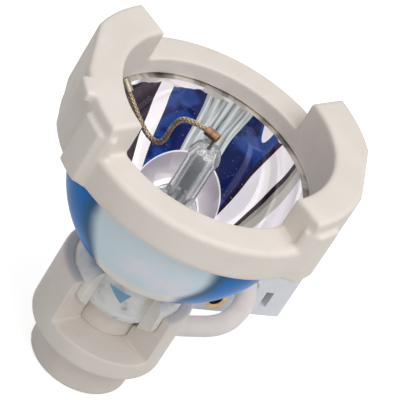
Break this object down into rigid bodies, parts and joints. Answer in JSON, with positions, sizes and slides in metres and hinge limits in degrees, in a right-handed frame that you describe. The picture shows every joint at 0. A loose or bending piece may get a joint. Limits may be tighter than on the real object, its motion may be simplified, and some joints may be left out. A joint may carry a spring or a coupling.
{
  "type": "metal halide lamp",
  "caption": "Short-arc metal halide lamp in a glass bowl reflector, with an eared ceramic front ring, a windowed ceramic base and an insulated supply lead with its connector.",
  "frame": {"origin": "middle of the end face of the plug under the base", "axes": "+Z along the optical axis out of the reflector, +X through the middle of one ear of the front ring, +Y to the far side, where the supply lead and its connector lie"},
  "size_m": [0.0701, 0.0776, 0.0696],
  "materials": {
    "ceramic": "matt cream ceramic",
    "bowl_glass": "glass with a blue and cream interference coating",
    "cement": "rough pale cement",
    "quartz": "clear quartz",
    "tungsten": "dark grey metal",
    "foil": "grey metal foil",
    "braid": "braided nickelled wire, warm grey",
    "copper": "copper",
    "nickel": "nickelled strip",
    "insulation": "pale insulating sleeve",
    "housing": "white moulded plastic",
    "brass": "brass"
  },
  "bodies": {
    "root": {"front_ring": "ceramic", "lamp_base": "ceramic", "burner_sleeve": "ceramic", "reflector": "bowl_glass", "ring_cement": "cement", "neck_cement": "cement", "burner_tube": "quartz", "front_electrode": "tungsten", "rear_electrode": "tungsten", "front_coil": "tungsten", "rear_coil": "tungsten", "front_foil": "foil", "rear_foil": "foil", "front_lead_pin": "tungsten", "rear_lead_pin": "tungsten", "front_crimp": "copper", "rear_crimp": "nickel", "braided_lead": "braid", "rim_clip": "nickel", "supply_lead": "insulation", "connector_housing": "housing", "socket_contact": "brass", "blade_contact": "brass"}
  },
  "joints": []
}
